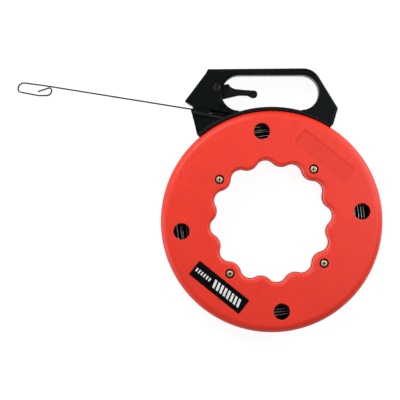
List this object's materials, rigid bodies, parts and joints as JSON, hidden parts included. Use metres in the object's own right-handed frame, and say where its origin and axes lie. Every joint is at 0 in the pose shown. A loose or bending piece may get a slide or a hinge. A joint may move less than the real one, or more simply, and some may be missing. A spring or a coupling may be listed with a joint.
{
  "type": "fish tape reel",
  "caption": "Flat steel fish tape wound in a round two-shell case that turns on a slip ring fixed to a grip handle, with a finger lever that presses the tape to an anvil.",
  "frame": {"origin": "on the case's axis, in the plane of the rear face that the reel lies on", "axes": "+Z out of the front face along the case's axis, +Y from the axis towards the grip, and the tape leaves towards -X"},
  "size_m": [0.396, 0.2857, 0.036],
  "materials": {
    "red_plastic": "fine moulded grain, satin",
    "black_plastic": "fine moulded grain, satin",
    "black_nylon": "smooth moulded nylon",
    "zinc_screw": "yellow passivated zinc",
    "rivet_steel": "plated steel",
    "bright_steel": "plain bright steel",
    "tape_steel": "oiled blued spring steel",
    "bush_brass": "turned brass",
    "pad_rubber": "hard rubber",
    "label_film": "printed film, satin"
  },
  "bodies": {
    "handle": {"slip_ring": "black_plastic", "handle_front": "black_plastic", "handle_rear": "black_plastic", "handle_screws": "zinc_screw", "lever_rivet": "rivet_steel", "rivet_washers": "rivet_steel", "lever_spring": "bright_steel", "lever_stop_pin": "bright_steel", "brake_anvil": "bright_steel", "tape_exit_bush": "black_nylon"},
    "reel": {"front_shell": "red_plastic", "rear_shell": "red_plastic", "case_screws": "zinc_screw", "front_label": "label_film", "tape_coil": "tape_steel", "tape_anchor_clip": "bright_steel", "anchor_screw": "zinc_screw"},
    "lever": {"brake_lever": "black_plastic", "lever_bush": "bush_brass", "brake_pad": "pad_rubber"},
    "tape": {"tape_end": "tape_steel"}
  },
  "joints": [
    {"name": "reel_spin", "type": "hinge", "parent": "handle", "child": "reel", "pos_m": [0, 0, 0.018], "axis": [0, 0, 1], "continuous": true},
    {"name": "lever_squeeze", "type": "hinge", "parent": "handle", "child": "lever", "pos_m": [-0.0593, 0.1449, 0.018], "axis": [0, 0, 1], "range_deg": [0, 9], "stiffness_Nm_per_rad": 0.6, "springref_deg": -17.19, "deforming": ["lever_spring"]},
    {"name": "tape_feed", "type": "slide", "parent": "handle", "child": "tape", "axis": [-0.9874, 0.1585, 0], "range_m": [-0.03, 0.05]}
  ]
}
